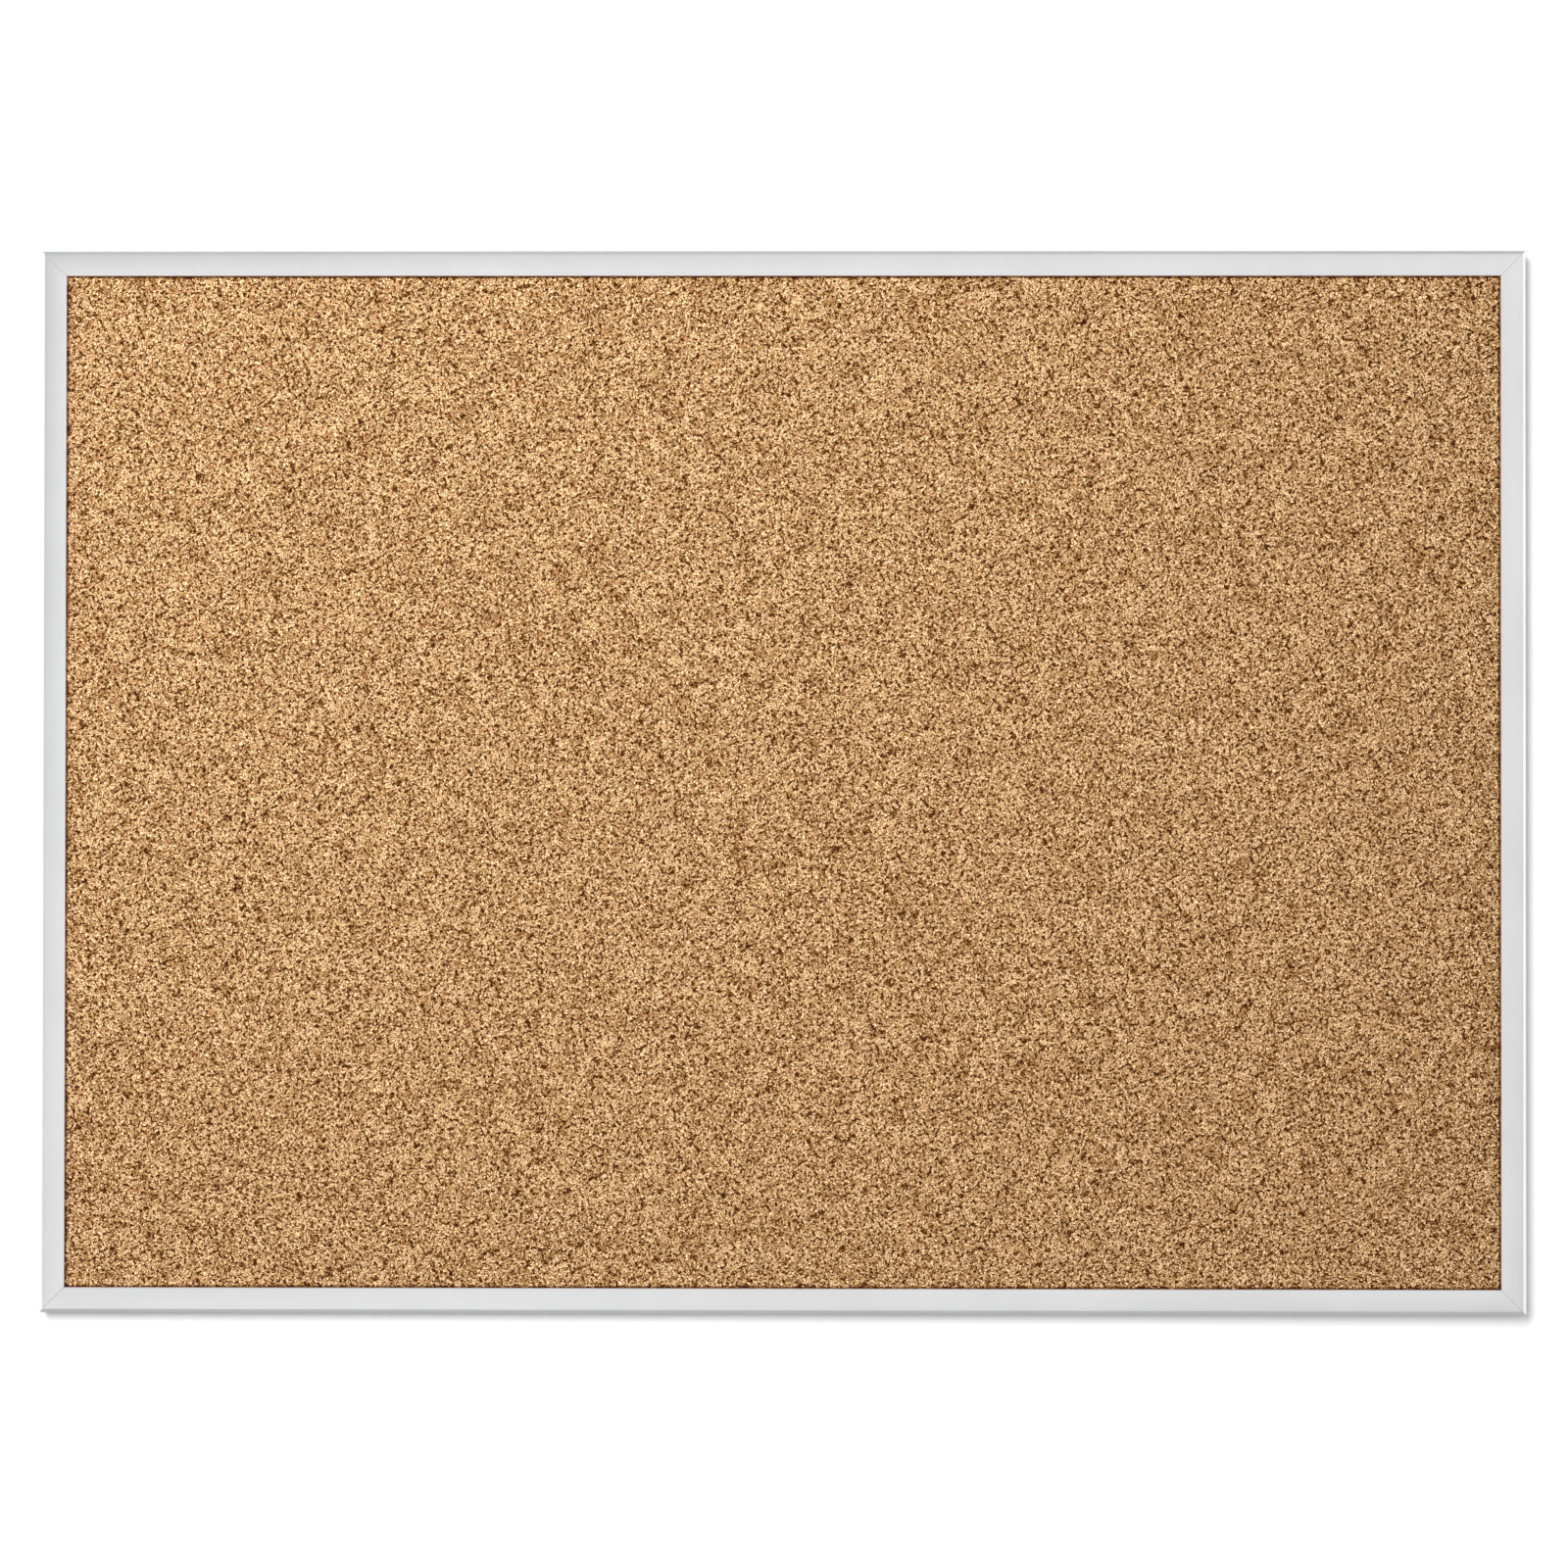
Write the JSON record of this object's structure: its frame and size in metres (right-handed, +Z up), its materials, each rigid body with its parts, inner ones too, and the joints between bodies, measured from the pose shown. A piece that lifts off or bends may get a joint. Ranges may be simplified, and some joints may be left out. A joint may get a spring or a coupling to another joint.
{
  "type": "cork bulletin board",
  "caption": "Wide rectangular cork pin board in a slim mitred aluminium frame, with clips that slide in the frame's back channel and hook it to a wall.",
  "frame": {"origin": "middle of the four wall-screw holes in the clips, on the wall plane, which is also the middle of the board", "axes": "+X to the right and +Z up for someone facing the board, +Y into the wall, so the cork looks along -Y"},
  "size_m": [0.914, 0.019, 0.654],
  "materials": {
    "frame_aluminium": "satin clear anodised, fine lines along each extrusion",
    "key_aluminium": "mill finish, sheared from flat bar",
    "zinc_screw": "bright zinc plate",
    "zinc_clip": "satin zinc plate",
    "kraft_liner": "matt brown kraft liner",
    "fibreboard": "soft felted wood fibre, matt",
    "cork": "natural pressed cork granules, matt, unsealed"
  },
  "bodies": {
    "board": {"bottom_rail": "frame_aluminium", "left_rail": "frame_aluminium", "top_rail": "frame_aluminium", "right_rail": "frame_aluminium", "corner_key_bottom_left": "key_aluminium", "corner_key_top_left": "key_aluminium", "corner_key_top_right": "key_aluminium", "corner_key_bottom_right": "key_aluminium", "corner_screw_bottom_left_1": "zinc_screw", "corner_screw_bottom_left_2": "zinc_screw", "corner_screw_top_left_1": "zinc_screw", "corner_screw_top_left_2": "zinc_screw", "corner_screw_top_right_1": "zinc_screw", "corner_screw_top_right_2": "zinc_screw", "corner_screw_bottom_right_1": "zinc_screw", "corner_screw_bottom_right_2": "zinc_screw", "backing_sheet": "kraft_liner", "fibreboard_core": "fibreboard", "cork_sheet": "cork"},
    "hanger_left": {"hanger_left": "zinc_clip"},
    "hanger_right": {"hanger_right": "zinc_clip"},
    "lower_clip_left": {"lower_clip_left": "zinc_clip"},
    "lower_clip_right": {"lower_clip_right": "zinc_clip"}
  },
  "joints": [
    {"name": "hanger_left_slide", "type": "slide", "parent": "board", "child": "hanger_left", "axis": [1, 0, 0], "range_m": [-0.089, 0.289]},
    {"name": "hanger_right_slide", "type": "slide", "parent": "board", "child": "hanger_right", "axis": [1, 0, 0], "range_m": [-0.289, 0.089]},
    {"name": "lower_clip_left_slide", "type": "slide", "parent": "board", "child": "lower_clip_left", "axis": [1, 0, 0], "range_m": [-0.089, 0.289]},
    {"name": "lower_clip_right_slide", "type": "slide", "parent": "board", "child": "lower_clip_right", "axis": [1, 0, 0], "range_m": [-0.289, 0.089]}
  ]
}
